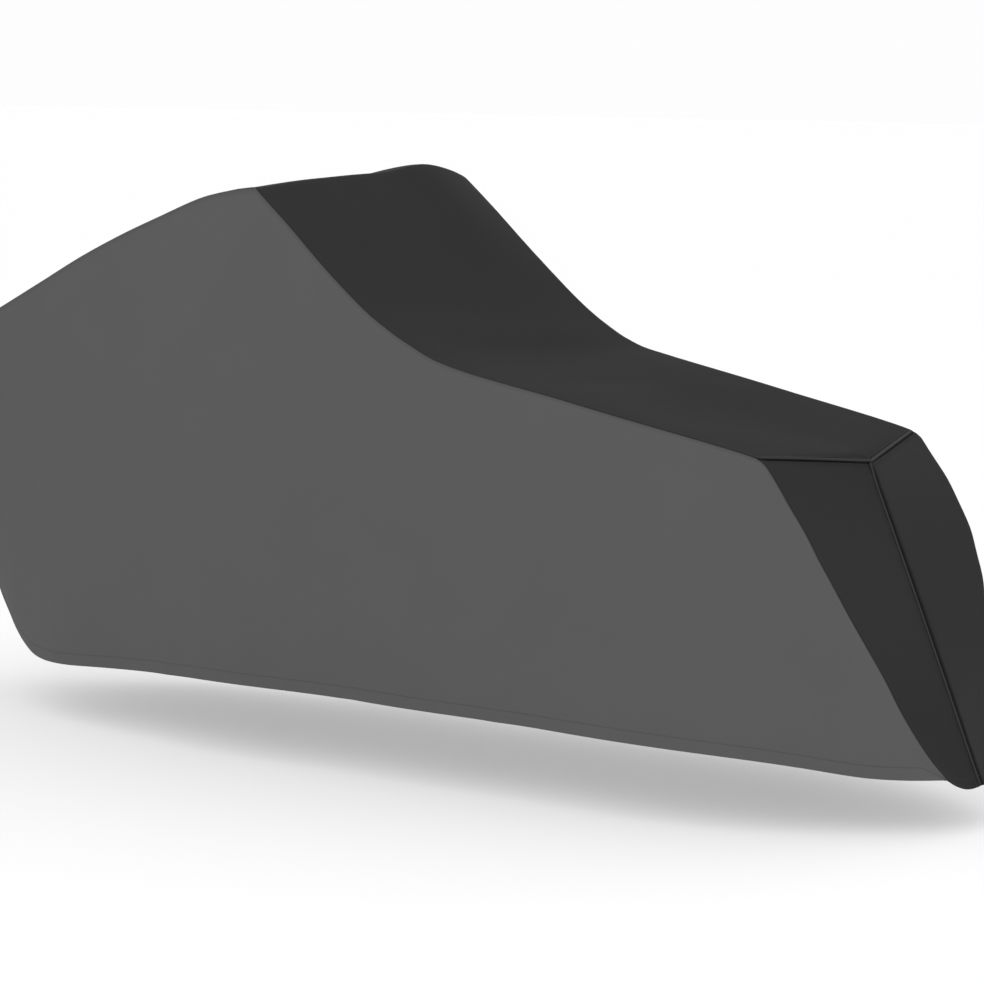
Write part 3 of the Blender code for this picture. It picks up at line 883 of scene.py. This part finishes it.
thread = bpy.data.materials.new("dark_thread")
thread.use_nodes = True
thread_tree = thread.node_tree
thread_shader = thread_tree.nodes["Principled BSDF"]
thread_shader.inputs["Roughness"].default_value = THREAD_ROUGHNESS
thread_shader.inputs["Specular IOR Level"].default_value = THREAD_GLOSS
thread_place = node(thread_tree, "ShaderNodeTexCoord")
twist = node(thread_tree, "ShaderNodeTexNoise", Scale=900.0, Detail=1.0)
tint = node(thread_tree, "ShaderNodeMapRange")
tint.inputs["To Min"].default_value = THREAD_DARKEST
tint.inputs["To Max"].default_value = THREAD_LIGHTEST
thread_tree.links.new(thread_place.outputs["Object"], twist.inputs["Vector"])
thread_tree.links.new(twist.outputs[0], tint.inputs["Value"])
thread_tree.links.new(tint.outputs[0], thread_shader.inputs["Base Color"])

stitching = bpy.data.node_groups.new("stitches along a row", "GeometryNodeTree")
for socket, kind, value in (
    ("Row", "NodeSocketGeometry", None),
    ("Pitch", "NodeSocketFloat", STITCH_PITCH),
    ("Length", "NodeSocketFloat", STITCH_LENGTH),
    ("Thickness", "NodeSocketFloat", STITCH_RADIUS * 2),
    ("Thread", "NodeSocketMaterial", None),
):
    made = stitching.interface.new_socket(socket, in_out="INPUT", socket_type=kind)
    if value is not None:
        made.default_value = value
stitching.interface.new_socket("Stitches", in_out="OUTPUT", socket_type="NodeSocketGeometry")
row_in = stitching.nodes.new("NodeGroupInput")
row_out = stitching.nodes.new("NodeGroupOutput")
as_curve = node(stitching, "GeometryNodeMeshToCurve")
resample = node(stitching, "GeometryNodeResampleCurve", mode="LENGTH")
stitch = node(stitching, "GeometryNodeMeshUVSphere", Segments=6, Rings=4, Radius=0.5)
size = node(stitching, "ShaderNodeCombineXYZ")
lay = node(stitching, "GeometryNodeInstanceOnPoints")
tangent = node(stitching, "GeometryNodeInputTangent")
turn = node(stitching, "FunctionNodeAlignRotationToVector", axis="Z")
realize = node(stitching, "GeometryNodeRealizeInstances")
finish_thread = node(stitching, "GeometryNodeSetMaterial")
for start, end in (
    (row_in.outputs["Row"], as_curve.inputs[0]),
    (as_curve.outputs[0], resample.inputs["Curve"]),
    (row_in.outputs["Pitch"], resample.inputs["Length"]),
    (resample.outputs[0], lay.inputs["Points"]),
    (stitch.outputs[0], lay.inputs["Instance"]),
    (row_in.outputs["Thickness"], size.inputs[0]),
    (row_in.outputs["Thickness"], size.inputs[1]),
    (row_in.outputs["Length"], size.inputs[2]),
    (size.outputs[0], lay.inputs["Scale"]),
    (tangent.outputs[0], turn.inputs["Vector"]),
    (turn.outputs[0], lay.inputs["Rotation"]),
    (lay.outputs[0], realize.inputs[0]),
    (realize.outputs[0], finish_thread.inputs[0]),
    (row_in.outputs["Thread"], finish_thread.inputs["Material"]),
    (finish_thread.outputs[0], row_out.inputs[0]),
):
    stitching.links.new(start, end)


def seam_row(face, column):
    """A row of stitches down one column of a face's points, beside a seam, lifted off the cloth."""
    return face[:, column] + STITCH_RADIUS * STITCH_LIFT * outward(face)[:, column]


def cross_row(face, rib):
    """A row of stitches along one rib of a face's points, from side to side, lifted off the cloth."""
    return face[rib] + STITCH_RADIUS * STITCH_LIFT * outward(face)[rib]


def make_stitches(name, rows):
    """One piece of stitches along several rows of points."""
    edges = []
    start = 0
    for row in rows:
        edges += [(start + i, start + i + 1) for i in range(len(row) - 1)]
        start += len(row)
    line_mesh = bpy.data.meshes.new(name + "_rows")
    line_mesh.from_pydata((np.concatenate(rows) - HOLD).tolist(), edges, [])
    lines = bpy.data.objects.new(name + "_rows", line_mesh)
    bpy.context.scene.collection.objects.link(lines)
    sew = lines.modifiers.new("sew", "NODES")
    sew.node_group = stitching
    for item in stitching.interface.items_tree:
        if item.name == "Thread":
            sew[item.identifier] = thread
    evaluated = lines.evaluated_get(bpy.context.evaluated_depsgraph_get())
    mesh = bpy.data.meshes.new_from_object(evaluated)
    mesh.name = name
    mesh.polygons.foreach_set("use_smooth", [True] * len(mesh.polygons))
    lines.modifiers.remove(sew)
    bpy.data.objects.remove(lines)
    piece = bpy.data.objects.new(name, mesh)
    bpy.context.scene.collection.objects.link(piece)
    return piece


BESIDE_SEAM = len(NEAR_EDGE) - 1
BESIDE_CENTRE = len(NEAR_MIDDLE)
BESIDE_HEM = len(NEAR_HEM) - 1 - NEAR_HEM.index(HEM_DEPTH)
rear_hem_rib = int(np.argmin(abs(tail_run - (HEM_DEPTH - HEM_STITCH_IN))))
front_hem_rib = int(np.argmin(abs(nose_run[-1] - nose_run - (HEM_DEPTH - HEM_STITCH_IN))))
seam_stitches = make_stitches("seam_stitches", [
    seam_row(back_outer, BESIDE_SEAM),
    seam_row(top_outer, BESIDE_SEAM),
    seam_row(front_right_outer, BESIDE_SEAM),
    seam_row(back_outer, -1 - BESIDE_SEAM),
    seam_row(top_outer, -1 - BESIDE_SEAM),
    seam_row(front_left_outer, -1 - BESIDE_SEAM),
])
cross_stitches = make_stitches("cross_stitches", [
    cross_row(back_outer, -1 - BESIDE_SEAM),
    cross_row(top_outer, -1 - BESIDE_SEAM),
    cross_row(front_right_outer, BESIDE_SEAM),
    cross_row(front_left_outer, BESIDE_SEAM),
    seam_row(front_right_outer, -1 - BESIDE_CENTRE),
    seam_row(front_left_outer, BESIDE_CENTRE),
])
hem_stitches = make_stitches("hem_stitches", [
    cross_row(back_outer, rear_hem_rib),
    cross_row(front_right_outer, front_hem_rib),
    cross_row(front_left_outer, front_hem_rib),
    seam_row(side_right_grid, BESIDE_HEM),
    seam_row(side_left_grid, -1 - BESIDE_HEM),
])
for piece in (seam_stitches, cross_stitches, hem_stitches):
    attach(piece, "root")
